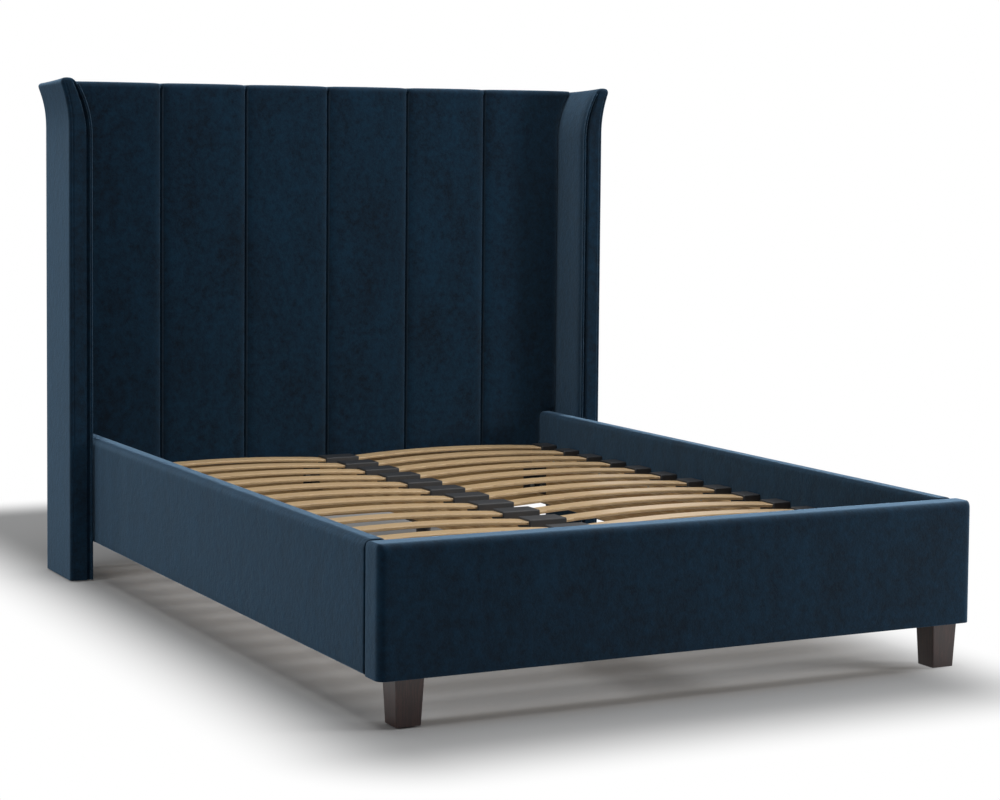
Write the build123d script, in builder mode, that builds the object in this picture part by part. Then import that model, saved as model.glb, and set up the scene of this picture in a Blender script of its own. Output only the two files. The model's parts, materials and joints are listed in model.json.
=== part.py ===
from build123d import *
import os
from math import sqrt

os.makedirs("parts", exist_ok=True)

# Upholstered winged bed frame for a double mattress, in millimetres.
# X runs across the bed, Y from its foot to its head and Z up from the floor.
# The origin lies on the floor, under the middle of the whole frame.

# Room for the mattress: between the padded rails, and from footboard to headboard
well_width = 1370
well_length = 1915

# Heights above the floor
ground_gap = 100
rail_top = 377
slat_seat = 265
headboard_height = 1330

# Fits: soft or curved faces stay a little apart, bolts pass their holes freely
fit = 0.3
bolt_clearance = 0.1
overrun = 5

# Side rails, from the outside in
rail_outer_padding = 15
rail_board_thickness = 25
rail_inner_padding = 10
rail_top_padding = 12
rail_hem = 3
rail_outer_radius = 18
rail_inner_radius = 12
rail_bottom_radius = 8
rail_end_gap = 4

# Footboard
footboard_thickness = 70
footboard_padding = 10
footboard_board_thickness = 9
footboard_rail_height = 45
footboard_post_width = 110
footboard_post_shares = (-1, -0.5, 0, 0.5, 1)
footboard_corner_radius = 18
footboard_top_radius = 16
footboard_bottom_radius = 5

# Headboard, from its channels back
pad_thickness = 38
face_board_thickness = 5
headboard_timber = 24
lining_thickness = 3
pad_top_thickness = 22
pad_floor_gap = 5
pad_top_radius = 28
pad_back_radius = 8
channel_count = 6
channel_crown = 5
groove_radius = 12
seam_width = 1.2
stile_width = 70
headboard_top_rail_height = 90
headboard_bottom_rail_height = 170
stud_width = 70
stud_shares = (-1 / 3, 1 / 3)
lining_inset = 5

# Wings
wing_gap = 7
wing_thickness = 60
wing_depth = 220
wing_side_padding = 8
wing_front_padding = 14
wing_back_padding = 6
wing_top_padding = 10
wing_panel_thickness = 5
wing_rib_depth = 30
wing_top_radius = 12
wing_front_radius = 10.5
wing_back_radius = 5
inner_flare_rise = 145
inner_flare_reach = 43
outer_flare_rise = 125
outer_flare_reach = 25
piping_radius = 4
piping_inset = 3

# Feet and glides
glide_radius = 12
glide_height = 3
foot_top_width = 65
foot_bottom_width = 56
foot_edge_radius = 3
foot_side_inset = 38
foot_bolt_radius = 4
foot_bolt_in_foot = 45
foot_bolt_in_rail = 35

# Ledgers and the middle beam
ledger_width = 40
ledger_height = 40
ledger_end_gap = 8
centre_rail_width = 60
centre_rail_height = 75
centre_rail_end_gap = 2
shoe_plate = 3
shoe_length = 50
shoe_flange = 27
shoe_bolt_inset = 13
shoe_lip_drop = 12

# Legs of the middle beam
leg_radius = 19
leg_wall = 2
leg_plug = 18
leg_plate_width = 80
leg_plate_thickness = 3
leg_place_share = 1 / 3
leg_screw_across = 40
leg_screw_along = 60
level_pad_radius = 24
level_pad_height = 8
level_pad_bevel = 3
level_collar_width = 17
level_collar_height = 5.7
level_stem_radius = 5
level_stem_reach = 40

# Corner angles, bolts and screws
bracket_plate = 3
bracket_along_rail = 60
bracket_across = 45
bracket_height = 85
bracket_lift = 30
bracket_bolt_shares = (0.25, 0.75)
bracket_bolt_along = 38
bracket_bolt_across = 17
bolt_head_radius = 6.5
bolt_head_height = 4
bolt_radius = 4
bolt_length = 25
wing_bolt_length = 75
wing_bolt_recess = 35
wing_bolt_recess_radius = 8
wing_bolt_lowest = 340
wing_bolt_gap = 360
wing_bolt_count = 3
screw_head_radius = 4
screw_head_height = 2
screw_radius = 2
screw_length = 60
ledger_screw_count = 7

# Sprung slats and their holders
slat_row_count = 14
slat_width = 53
slat_thickness = 8
slat_crown = 14
slat_edge_radius = 3
slat_end_row_inset = 75
cap_length = 50
cap_height = 24
cap_floor = 8
cap_wall = 5
cap_edge_radius = 3
centre_cap_length = 100
centre_cap_web = 20

# Places across the bed, from its middle to its right side
rail_inner = well_width / 2
board_inner = rail_inner + rail_inner_padding
board_outer = board_inner + rail_board_thickness
rail_outer = board_outer + rail_outer_padding
ledger_inner = board_inner - ledger_width
wing_inner = rail_outer + wing_gap
wing_outer = wing_inner + wing_thickness
headboard_side = wing_inner - fit
stile_inner = headboard_side - stile_width

# Places along the bed, from its foot to its head
headboard_thickness = pad_thickness + face_board_thickness + headboard_timber + lining_thickness
bed_length = footboard_thickness + well_length + headboard_thickness
foot_end = -bed_length / 2
well_front = foot_end + footboard_thickness
well_back = well_front + well_length
face_front = well_back + pad_thickness
frame_front = face_front + face_board_thickness
frame_back = frame_front + headboard_timber
head_end = frame_back + lining_thickness
wing_front = head_end - wing_depth

# Footboard frame inside its padding
core_side = rail_outer - footboard_padding
core_front = foot_end + footboard_padding
core_back = well_front - footboard_padding
core_top = rail_top - footboard_padding
post_front = core_front + footboard_board_thickness
post_centre = core_side - footboard_post_width / 2

# Headboard and beam heights
frame_top = headboard_height - pad_top_thickness
pad_bottom = slat_seat + pad_floor_gap
bottom_rail_top = ground_gap + headboard_bottom_rail_height
top_rail_bottom = frame_top - headboard_top_rail_height
beam_bottom = slat_seat - centre_rail_height


def save(piece, name):
    """Label a finished piece and write it to its own file."""
    piece.part.label = name
    export_step(piece.part, f"parts/{name}.step")


def save_pair(piece, name):
    """Write a right-hand piece, and its mirror image for the left."""
    save(piece, f"{name}_right")
    with BuildPart() as mirrored:
        mirror(piece.part, about=Plane.YZ)
    save(mirrored, f"{name}_left")


def box_between(x_limits, y_limits, z_limits, mode=Mode.ADD):
    """Add a box to the current part, between two limits along each axis."""
    spans = (x_limits, y_limits, z_limits)
    with Locations(tuple((low + high) / 2 for low, high in spans)):
        Box(*(abs(high - low) for low, high in spans), mode=mode)


def top_corners(sketch):
    """Highest corners of a section drawn in its own plane, from left to right."""
    return sketch.vertices().group_by(Axis.Y)[-1].sort_by(Axis.X)


def bottom_corners(sketch):
    """Lowest corners of a section drawn in its own plane, from left to right."""
    return sketch.vertices().group_by(Axis.Y)[0].sort_by(Axis.X)


def seats(points, outward):
    """Planes under the heads of fasteners whose heads face outward."""
    return [Plane(origin=point, z_dir=outward) for point in points]


def both_sides(planes):
    """These planes, and their mirror images across the middle of the bed."""
    flipped = [
        Plane(
            origin=(-plane.origin.X, plane.origin.Y, plane.origin.Z),
            z_dir=(-plane.z_dir.X, plane.z_dir.Y, plane.z_dir.Z),
        )
        for plane in planes
    ]
    return [*planes, *flipped]


def drill(planes, radius, length):
    """Cut clearance holes in the current part, from these planes inwards."""
    with Locations(*planes):
        Cylinder(
            radius + bolt_clearance,
            length + bolt_clearance,
            align=(Align.CENTER, Align.CENTER, Align.MAX),
            mode=Mode.SUBTRACT,
        )


def fasten(planes, head_radius, head_height, radius, length):
    """Add one headed fastener to the current part on each plane."""
    with Locations(*planes):
        Cylinder(head_radius, head_height, align=(Align.CENTER, Align.CENTER, Align.MIN))
        Cylinder(radius, length, align=(Align.CENTER, Align.CENTER, Align.MAX))


# Seats of the bolts and screws, worked out once for the holes and the fasteners
bracket_bottom = ground_gap + bracket_lift
bracket_bolt_heights = [bracket_bottom + share * bracket_height for share in bracket_bolt_shares]
bracket_bolt_x = board_inner - bracket_bolt_across
corners = ((well_front, 1), (face_front, -1))

rail_bolt_seats = [
    seat
    for wall, inward in corners
    for seat in seats(
        [
            (board_inner - bracket_plate, wall + inward * bracket_bolt_along, height)
            for height in bracket_bolt_heights
        ],
        (-1, 0, 0),
    )
]
foot_bracket_seats = seats(
    [(bracket_bolt_x, well_front + bracket_plate, height) for height in bracket_bolt_heights],
    (0, 1, 0),
)
head_bracket_seats = seats(
    [(bracket_bolt_x, face_front - bracket_plate, height) for height in bracket_bolt_heights],
    (0, -1, 0),
)

shoe_outer = centre_rail_width / 2 + fit + shoe_plate + shoe_flange
shoe_top = slat_seat - shoe_lip_drop
shoe_bolt_x = shoe_outer - shoe_bolt_inset
shoe_bolt_height = (beam_bottom + shoe_top) / 2
foot_shoe_seats = seats([(shoe_bolt_x, well_front + shoe_plate, shoe_bolt_height)], (0, 1, 0))
head_shoe_seats = seats([(shoe_bolt_x, face_front - shoe_plate, shoe_bolt_height)], (0, -1, 0))

wing_bolt_seats = seats(
    [
        (
            stile_inner + wing_bolt_recess,
            (frame_front + frame_back) / 2,
            wing_bolt_lowest + number * wing_bolt_gap,
        )
        for number in range(wing_bolt_count)
    ],
    (-1, 0, 0),
)

ledger_front = well_front + ledger_end_gap
ledger_back = well_back - ledger_end_gap
ledger_screw_pitch = (ledger_back - ledger_front) / ledger_screw_count
ledger_screw_seats = seats(
    [
        (
            ledger_inner,
            ledger_front + (number + 0.5) * ledger_screw_pitch,
            slat_seat - ledger_height / 2,
        )
        for number in range(ledger_screw_count)
    ],
    (-1, 0, 0),
)

leg_places = {
    "front": well_front + leg_place_share * well_length,
    "rear": well_back - leg_place_share * well_length,
}
leg_plate_bottom = beam_bottom - leg_plate_thickness
leg_screw_seats = [
    seat
    for place in leg_places.values()
    for seat in seats(
        [
            (x_side * leg_screw_across / 2, place + y_side * leg_screw_along / 2, leg_plate_bottom)
            for x_side in (-1, 1)
            for y_side in (-1, 1)
        ],
        (0, 0, -1),
    )
]

# Headboard frame: two stiles, a rail at the top and the bottom, and two studs between
frame_y = (frame_front, frame_back)

with BuildPart() as headboard_stile:
    box_between((stile_inner, headboard_side), frame_y, (ground_gap, frame_top))
    drill(head_bracket_seats, bolt_radius, bolt_length)
    drill(wing_bolt_seats, bolt_radius, wing_bolt_length)
    with Locations(*wing_bolt_seats):
        Cylinder(
            wing_bolt_recess_radius,
            wing_bolt_recess + overrun,
            align=(Align.CENTER, Align.CENTER, Align.MIN),
            mode=Mode.SUBTRACT,
        )
save_pair(headboard_stile, "headboard_stile")

with BuildPart() as headboard_top_rail:
    box_between((-stile_inner, stile_inner), frame_y, (top_rail_bottom, frame_top))
save(headboard_top_rail, "headboard_top_rail")

with BuildPart() as headboard_bottom_rail:
    box_between((-stile_inner, stile_inner), frame_y, (ground_gap, bottom_rail_top))
    drill(both_sides(head_shoe_seats), bolt_radius, bolt_length)
save(headboard_bottom_rail, "headboard_bottom_rail")

with BuildPart() as headboard_studs:
    for share in stud_shares:
        stud_x = share * stile_inner
        box_between(
            (stud_x - stud_width / 2, stud_x + stud_width / 2),
            frame_y,
            (bottom_rail_top, top_rail_bottom),
        )
save(headboard_studs, "headboard_studs")

with BuildPart() as headboard_face_board:
    box_between(
        (-headboard_side, headboard_side), (face_front, frame_front), (ground_gap, frame_top)
    )
    drill(both_sides(head_bracket_seats + head_shoe_seats), bolt_radius, bolt_length)
save(headboard_face_board, "headboard_face_board")

with BuildPart() as headboard_back_lining:
    box_between(
        (lining_inset - headboard_side, headboard_side - lining_inset),
        (frame_back, head_end),
        (ground_gap + lining_inset, frame_top - lining_inset),
    )
save(headboard_back_lining, "headboard_back_lining")

# Flares: the wings' faces are upright lines that run into arcs near the top
inner_flare_start = headboard_height - inner_flare_rise
outer_flare_start = headboard_height - outer_flare_rise
inner_flare_radius = (inner_flare_rise**2 + inner_flare_reach**2) / (2 * inner_flare_reach)
outer_flare_radius = (outer_flare_rise**2 + outer_flare_reach**2) / (2 * outer_flare_reach)


def flare(x, radius, start, height):
    """Point at a height on a flare that leaves an upright line smoothly."""
    return (x + radius - sqrt(radius**2 - (height - start) ** 2), height)


# Channel pad: a slab that rolls over the top of the frame, crowned between sewn
# grooves, and notched at its lower corners for the ends of the side rails. Its ends
# widen near the top to follow the wings
channel_pitch = 2 * headboard_side / channel_count
seam_places = [number * channel_pitch - headboard_side for number in range(channel_count + 1)]
groove_half = groove_radius + seam_width / 2
groove_mouth = well_back + channel_crown
pad_reach = headboard_side + inner_flare_reach
pad_turn = (headboard_side, inner_flare_start)
pad_tip = flare(headboard_side, inner_flare_radius + fit, inner_flare_start, headboard_height)

with BuildPart() as groove:
    with BuildLine(Plane.YZ) as groove_path:
        FilletPolyline(
            (well_back, pad_bottom - overrun),
            (well_back, headboard_height),
            (head_end + overrun, headboard_height),
            radius=pad_top_radius,
        )
    with BuildSketch(Plane.XY.offset(pad_bottom - overrun)):
        with BuildLine():
            Line((-groove_half, well_back - overrun), (-groove_half, groove_mouth))
            left_roll = JernArc((-groove_half, groove_mouth), (1, 0), groove_radius, 90)
            right_roll = JernArc((groove_half, groove_mouth), (-1, 0), groove_radius, -90)
            Line(left_roll @ 1, right_roll @ 1)
            Line((groove_half, groove_mouth), (groove_half, well_back - overrun))
            Line((groove_half, well_back - overrun), (-groove_half, well_back - overrun))
        make_face()
    sweep(path=groove_path.line)

with BuildPart() as headboard_channel_pad:
    with BuildSketch(Plane.YZ) as pad_side:
        with BuildLine():
            Polyline(
                (well_back, pad_bottom),
                (well_back, headboard_height),
                (head_end, headboard_height),
                (head_end, frame_top),
                (face_front, frame_top),
                (face_front, pad_bottom),
                close=True,
            )
        make_face()
        fillet(top_corners(pad_side)[0], radius=pad_top_radius)
        fillet(top_corners(pad_side)[-1], radius=pad_back_radius)
    extrude(amount=pad_reach, both=True)
    with BuildSketch(Plane.XY.offset(pad_bottom)):
        with BuildLine():
            for start, end in zip(seam_places, seam_places[1:]):
                ThreePointArc(
                    (start, groove_mouth), ((start + end) / 2, well_back), (end, groove_mouth)
                )
            Polyline(
                (headboard_side, groove_mouth),
                (pad_reach, groove_mouth),
                (pad_reach, head_end),
                (-pad_reach, head_end),
                (-pad_reach, groove_mouth),
                (-headboard_side, groove_mouth),
            )
        make_face()
    extrude(amount=headboard_height - pad_bottom, mode=Mode.INTERSECT)
    with BuildSketch(Plane.XZ):
        with BuildLine():
            Line((0, pad_bottom), (headboard_side, pad_bottom))
            Line((headboard_side, pad_bottom), pad_turn)
            TangentArc(pad_turn, pad_tip, tangent=(0, 1))
            Line(pad_tip, (0, headboard_height))
            mirror(about=Plane.YZ)
        make_face()
    extrude(amount=-head_end, mode=Mode.INTERSECT)
    with Locations(*((place, 0, 0) for place in seam_places[1:-1])):
        add(groove.part, mode=Mode.SUBTRACT)
    for side in (-1, 1):
        box_between(
            (side * (rail_inner - fit), side * (headboard_side + overrun)),
            (well_back - overrun, face_front),
            (pad_bottom - overrun, rail_top + fit),
            mode=Mode.SUBTRACT,
        )
save(headboard_channel_pad, "headboard_channel_pad")


# Wings: ribs and a bent panel inside a padded sleeve, with piping in its front seam
rib_front = wing_front + wing_front_padding
rib_back = head_end - wing_back_padding
rib_top = headboard_height - wing_top_padding
rib_inset = wing_side_padding + wing_panel_thickness + fit


def wing_slice(inner_inset, outer_inset, y_limits, z_limits):
    """A slice of the wing, set in from its inner and outer faces."""
    bottom, top = z_limits
    inner_x = wing_inner + inner_inset
    outer_x = wing_outer - outer_inset
    inner_turn = (inner_x, inner_flare_start)
    outer_turn = (outer_x, outer_flare_start)
    inner_top = flare(inner_x, inner_flare_radius - inner_inset, inner_flare_start, top)
    outer_top = flare(outer_x, outer_flare_radius + outer_inset, outer_flare_start, top)
    with BuildPart() as piece:
        with BuildSketch(Plane.XZ.offset(-y_limits[1])):
            with BuildLine():
                Line((inner_x, bottom), inner_turn)
                TangentArc(inner_turn, inner_top, tangent=(0, 1))
                Line(inner_top, outer_top)
                TangentArc(outer_turn, outer_top, tangent=(0, 1))
                Line(outer_turn, (outer_x, bottom))
                Line((outer_x, bottom), (inner_x, bottom))
            make_face()
        extrude(amount=y_limits[1] - y_limits[0])
    return piece


def piping(radius):
    """A cord of this radius along the wing's inner front edge, up its flare."""
    path_x = wing_inner + piping_inset
    path_y = wing_front + piping_inset
    path_top = headboard_height - wing_top_radius
    turn = (path_x, inner_flare_start)
    tip = flare(path_x, inner_flare_radius - piping_inset, inner_flare_start, path_top)
    with BuildPart() as cord:
        with BuildLine(Plane.XZ) as path:
            Line((path_x, glide_height), turn)
            TangentArc(turn, tip, tangent=(0, 1))
        with BuildSketch(Plane.XY.offset(glide_height)):
            with Locations((path_x, 0)):
                Circle(radius)
        sweep(path=path.line)
    with BuildPart() as piece:
        with Locations((0, path_y, 0)):
            add(cord.part)
    return piece


with BuildPart() as wing_front_rib:
    add(
        wing_slice(
            rib_inset,
            wing_side_padding,
            (rib_front, rib_front + wing_rib_depth),
            (glide_height, rib_top),
        ).part
    )
save_pair(wing_front_rib, "wing_front_rib")

with BuildPart() as wing_rear_rib:
    add(
        wing_slice(
            rib_inset,
            wing_side_padding,
            (rib_back - wing_rib_depth, rib_back),
            (glide_height, rib_top),
        ).part
    )
    drill(wing_bolt_seats, bolt_radius, wing_bolt_length)
save_pair(wing_rear_rib, "wing_rear_rib")

with BuildPart() as wing_panel:
    panel_outer_inset = wing_thickness - wing_side_padding - wing_panel_thickness
    panel_x = wing_inner + wing_side_padding
    panel_back_x = panel_x + wing_panel_thickness
    panel_radius = inner_flare_radius - wing_side_padding
    panel_back_radius = panel_radius - wing_panel_thickness
    with BuildSketch(Plane.XZ.offset(-rib_back)):
        with BuildLine():
            panel_turn = (panel_x, inner_flare_start)
            back_turn = (panel_back_x, inner_flare_start)
            panel_tip = flare(panel_x, panel_radius, inner_flare_start, rib_top)
            back_tip = flare(panel_back_x, panel_back_radius, inner_flare_start, rib_top)
            Line((panel_x, glide_height), panel_turn)
            TangentArc(panel_turn, panel_tip, tangent=(0, 1))
            Line(panel_tip, back_tip)
            TangentArc(back_turn, back_tip, tangent=(0, 1))
            Line(back_turn, (panel_back_x, glide_height))
            Line((panel_back_x, glide_height), (panel_x, glide_height))
        make_face()
    extrude(amount=rib_back - rib_front)
    drill(wing_bolt_seats, bolt_radius, wing_bolt_length)
save_pair(wing_panel, "wing_panel")

with BuildPart() as wing_cover:
    add(wing_slice(0, 0, (wing_front, head_end), (glide_height, headboard_height)).part)
    fillet(wing_cover.edges().filter_by(Axis.Y).group_by(Axis.Z)[-1], radius=wing_top_radius)
    for face, radius in (
        (wing_cover.faces().sort_by(Axis.Y)[0], wing_front_radius),
        (wing_cover.faces().sort_by(Axis.Y)[-1], wing_back_radius),
    ):
        rim = face.edges().sort_by(Axis.Z)[1:]
        fillet(rim, radius=radius)
    add(
        wing_slice(
            wing_side_padding - fit,
            wing_side_padding - fit,
            (rib_front - fit, rib_back + fit),
            (glide_height, rib_top + fit),
        ).part,
        mode=Mode.SUBTRACT,
    )
    add(piping(piping_radius + fit).part, mode=Mode.SUBTRACT)
    drill(wing_bolt_seats, bolt_radius, wing_bolt_length)
save_pair(wing_cover, "wing_cover")

with BuildPart() as wing_piping:
    add(piping(piping_radius).part)
save_pair(wing_piping, "wing_piping")

with BuildPart() as wing_bolts:
    fasten(
        both_sides(wing_bolt_seats),
        bolt_head_radius,
        bolt_head_height,
        bolt_radius,
        wing_bolt_length,
    )
save(wing_bolts, "wing_bolts")

# Side rails: a board, and padding that wraps it down to the ledger inside
board_bottom = ground_gap + rail_hem
board_top = rail_top - rail_top_padding
wrap_bottom = slat_seat + fit

with BuildPart() as side_rail_board:
    box_between((board_inner, board_outer), (well_front, face_front), (board_bottom, board_top))
    drill(rail_bolt_seats, bolt_radius, bolt_length)
    drill(ledger_screw_seats, screw_radius, screw_length)
save_pair(side_rail_board, "side_rail_board")

with BuildPart() as side_rail_cover:
    with BuildSketch(Plane.XZ.offset(-face_front)) as rail_section:
        with BuildLine():
            Polyline(
                (rail_inner, wrap_bottom),
                (rail_inner, rail_top),
                (rail_outer, rail_top),
                (rail_outer, ground_gap),
                (board_inner, ground_gap),
                (board_inner, board_bottom),
                (board_outer, board_bottom),
                (board_outer, board_top),
                (board_inner, board_top),
                (board_inner, wrap_bottom),
                close=True,
            )
        make_face()
        fillet(top_corners(rail_section)[0], radius=rail_inner_radius)
        fillet(top_corners(rail_section)[-1], radius=rail_outer_radius)
        fillet(bottom_corners(rail_section)[-1], radius=rail_bottom_radius)
    extrude(amount=face_front - well_front - rail_end_gap)
save_pair(side_rail_cover, "side_rail_cover")

with BuildPart() as slat_ledger:
    box_between(
        (ledger_inner, board_inner),
        (ledger_front, ledger_back),
        (slat_seat - ledger_height, slat_seat),
    )
    drill(ledger_screw_seats, screw_radius, screw_length)
save_pair(slat_ledger, "slat_ledger")

with BuildPart() as corner_brackets:
    for wall, inward in corners:
        bracket_z = (bracket_bottom, bracket_bottom + bracket_height)
        box_between(
            (board_inner - bracket_plate, board_inner),
            (wall, wall + inward * bracket_along_rail),
            bracket_z,
        )
        box_between(
            (board_inner - bracket_across, board_inner),
            (wall, wall + inward * bracket_plate),
            bracket_z,
        )
    drill(rail_bolt_seats + foot_bracket_seats + head_bracket_seats, bolt_radius, bolt_length)
    mirror(about=Plane.YZ)
save(corner_brackets, "corner_brackets")

with BuildPart() as bracket_bolts:
    fasten(
        both_sides(
            rail_bolt_seats
            + foot_bracket_seats
            + head_bracket_seats
            + foot_shoe_seats
            + head_shoe_seats
        ),
        bolt_head_radius,
        bolt_head_height,
        bolt_radius,
        bolt_length,
    )
save(bracket_bolts, "bracket_bolts")

# Footboard: a timber frame behind a board, inside a padded sleeve open at the bottom
post_y = (post_front, core_back)
core_x = (-core_side, core_side)
bottom_rail_z = (ground_gap, ground_gap + footboard_rail_height)
top_rail_z = (core_top - footboard_rail_height, core_top)
foot_x = rail_outer - foot_side_inset - foot_top_width / 2
foot_y = foot_end + footboard_thickness / 2
foot_bolt_top = ground_gap + foot_bolt_in_rail
foot_bolt_seats = seats([(foot_x, foot_y, foot_bolt_top)], (0, 0, 1))
foot_bolt_length = foot_bolt_in_foot + foot_bolt_in_rail

with BuildPart() as footboard_front_board:
    box_between(core_x, (core_front, post_front), (ground_gap, core_top))
save(footboard_front_board, "footboard_front_board")

with BuildPart() as footboard_top_rail:
    box_between(core_x, post_y, top_rail_z)
save(footboard_top_rail, "footboard_top_rail")

with BuildPart() as footboard_bottom_rail:
    box_between(core_x, post_y, bottom_rail_z)
    drill(both_sides(foot_bolt_seats), foot_bolt_radius, foot_bolt_length)
save(footboard_bottom_rail, "footboard_bottom_rail")

with BuildPart() as footboard_posts:
    for share in footboard_post_shares:
        post_x = share * post_centre
        box_between(
            (post_x - footboard_post_width / 2, post_x + footboard_post_width / 2),
            post_y,
            (bottom_rail_z[1], top_rail_z[0]),
        )
    drill(both_sides(foot_bracket_seats + foot_shoe_seats), bolt_radius, bolt_length)
save(footboard_posts, "footboard_posts")

with BuildPart() as footboard_cover:
    with BuildSketch(Plane.XY.offset(ground_gap)):
        with Locations((0, foot_y)):
            RectangleRounded(2 * rail_outer, footboard_thickness, footboard_corner_radius)
    extrude(amount=rail_top - ground_gap)
    fillet(footboard_cover.edges().group_by(Axis.Z)[-1], radius=footboard_top_radius)
    fillet(footboard_cover.edges().group_by(Axis.Z)[0], radius=footboard_bottom_radius)
    box_between(
        core_x, (core_front, core_back), (ground_gap, core_top), mode=Mode.SUBTRACT
    )
    drill(both_sides(foot_bracket_seats + foot_shoe_seats), bolt_radius, bolt_length)
save(footboard_cover, "footboard_cover")

# Front feet: tapered blocks on hanger bolts, and glides under all that stands
with BuildPart() as front_foot:
    for height, width in ((glide_height, foot_bottom_width), (ground_gap, foot_top_width)):
        with BuildSketch(Plane.XY.offset(height)):
            with Locations((foot_x, foot_y)):
                RectangleRounded(width, width, foot_edge_radius)
    loft()
    drill(foot_bolt_seats, foot_bolt_radius, foot_bolt_length)
save_pair(front_foot, "front_foot")

with BuildPart() as foot_bolts:
    with Locations(*both_sides(foot_bolt_seats)):
        Cylinder(
            foot_bolt_radius, foot_bolt_length, align=(Align.CENTER, Align.CENTER, Align.MAX)
        )
save(foot_bolts, "foot_bolts")

rib_x = (wing_inner + rib_inset + wing_outer - wing_side_padding) / 2
glide_places = [
    (foot_x, foot_y),
    (rib_x, rib_front + wing_rib_depth / 2),
    (rib_x, rib_back - wing_rib_depth / 2),
]

with BuildPart() as floor_glides:
    with Locations(*glide_places):
        Cylinder(glide_radius, glide_height, align=(Align.CENTER, Align.CENTER, Align.MIN))
    mirror(about=Plane.YZ)
save(floor_glides, "floor_glides")

# Middle beam in steel shoes, on two legs with threaded feet
with BuildPart() as centre_rail:
    box_between(
        (-centre_rail_width / 2, centre_rail_width / 2),
        (
            well_front + shoe_plate + centre_rail_end_gap,
            face_front - shoe_plate - centre_rail_end_gap,
        ),
        (beam_bottom, slat_seat),
    )
    drill(leg_screw_seats, screw_radius, screw_length)
save(centre_rail, "centre_rail")

with BuildPart() as centre_rail_hangers:
    cheek = centre_rail_width / 2 + fit
    for wall, inward in corners:
        shoe_y = (wall, wall + inward * shoe_length)
        plate_y = (wall, wall + inward * shoe_plate)
        box_between((-shoe_outer, shoe_outer), plate_y, (beam_bottom - shoe_plate, shoe_top))
        box_between(
            (-cheek - shoe_plate, cheek + shoe_plate),
            shoe_y,
            (beam_bottom - shoe_plate, beam_bottom),
        )
        for side in (-1, 1):
            box_between(
                (side * cheek, side * (cheek + shoe_plate)),
                shoe_y,
                (beam_bottom - shoe_plate, shoe_top),
            )
    drill(both_sides(foot_shoe_seats + head_shoe_seats), bolt_radius, bolt_length)
save(centre_rail_hangers, "centre_rail_hangers")

leg_bottom = level_pad_height + level_collar_height + fit

for name, place in leg_places.items():
    with BuildPart() as centre_leg:
        with BuildSketch(Plane.XY.offset(leg_plate_bottom)):
            with Locations((0, place)):
                Rectangle(leg_plate_width, leg_plate_width)
        extrude(amount=leg_plate_thickness)
        with Locations((0, place, leg_bottom)):
            Cylinder(
                leg_radius,
                leg_plate_bottom - leg_bottom,
                align=(Align.CENTER, Align.CENTER, Align.MIN),
            )
        with Locations((0, place, leg_bottom + leg_plug)):
            Cylinder(
                leg_radius - leg_wall,
                leg_plate_bottom - leg_bottom - leg_plug,
                align=(Align.CENTER, Align.CENTER, Align.MIN),
                mode=Mode.SUBTRACT,
            )
        with Locations((0, place, leg_bottom)):
            Cylinder(
                level_stem_radius + bolt_clearance,
                leg_plug,
                align=(Align.CENTER, Align.CENTER, Align.MIN),
                mode=Mode.SUBTRACT,
            )
        drill(leg_screw_seats, screw_radius, screw_length)
    save(centre_leg, f"centre_leg_{name}")

    with BuildPart() as levelling_foot:
        with Locations((0, place, 0)):
            Cylinder(
                level_pad_radius,
                level_pad_height,
                align=(Align.CENTER, Align.CENTER, Align.MIN),
            )
        chamfer(levelling_foot.edges().group_by(Axis.Z)[-1], length=level_pad_bevel)
        with BuildSketch(Plane.XY.offset(level_pad_height)):
            with Locations((0, place)):
                RegularPolygon(level_collar_width / 2, 6, major_radius=False)
        extrude(amount=level_collar_height)
        with Locations((0, place, level_pad_height)):
            Cylinder(
                level_stem_radius,
                leg_bottom + level_stem_reach - level_pad_height,
                align=(Align.CENTER, Align.CENTER, Align.MIN),
            )
    save(levelling_foot, f"levelling_foot_{name}")

with BuildPart() as wood_screws:
    fasten(
        both_sides(ledger_screw_seats) + leg_screw_seats,
        screw_head_radius,
        screw_head_height,
        screw_radius,
        screw_length,
    )
save(wood_screws, "wood_screws")

# Sprung slats: each is bowed upwards between two plastic holders
cap_outer = rail_inner - fit
slat_inner_end = centre_cap_web / 2 + fit
slat_outer_end = cap_outer - cap_wall - fit
slat_bottom = slat_seat + cap_floor
slat_row_pitch = (well_length - 2 * slat_end_row_inset) / (slat_row_count - 1)
slat_rows = [
    well_front + slat_end_row_inset + number * slat_row_pitch for number in range(slat_row_count)
]


def slat(clearance):
    """One right-hand slat at the middle of the bed's length, grown by a clearance."""
    ends = (slat_inner_end - clearance, slat_outer_end + clearance)
    middle = sum(ends) / 2
    bottom = slat_bottom - clearance
    top = slat_bottom + slat_thickness + clearance
    half_width = slat_width / 2 + clearance
    with BuildPart() as piece:
        with BuildSketch(Plane.XZ):
            with BuildLine():
                ThreePointArc((ends[0], bottom), (middle, bottom + slat_crown), (ends[1], bottom))
                Line((ends[1], bottom), (ends[1], top))
                ThreePointArc((ends[1], top), (middle, top + slat_crown), (ends[0], top))
                Line((ends[0], top), (ends[0], bottom))
            make_face()
        extrude(amount=half_width, both=True)
    return piece


cap_half = slat_width / 2 + cap_wall
cap_z = (slat_seat, slat_seat + cap_height)

with BuildPart() as slat_pair:
    add(slat(0).part)
    long_edges = slat_pair.edges().filter_by(GeomType.CIRCLE)
    fillet(long_edges, radius=slat_edge_radius)
    mirror(about=Plane.YZ)

for number, row in enumerate(slat_rows, start=1):
    with BuildPart() as slat_row:
        with Locations((0, row, 0)):
            add(slat_pair.part)
    save(slat_row, f"slat_row_{number:02d}")

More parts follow.
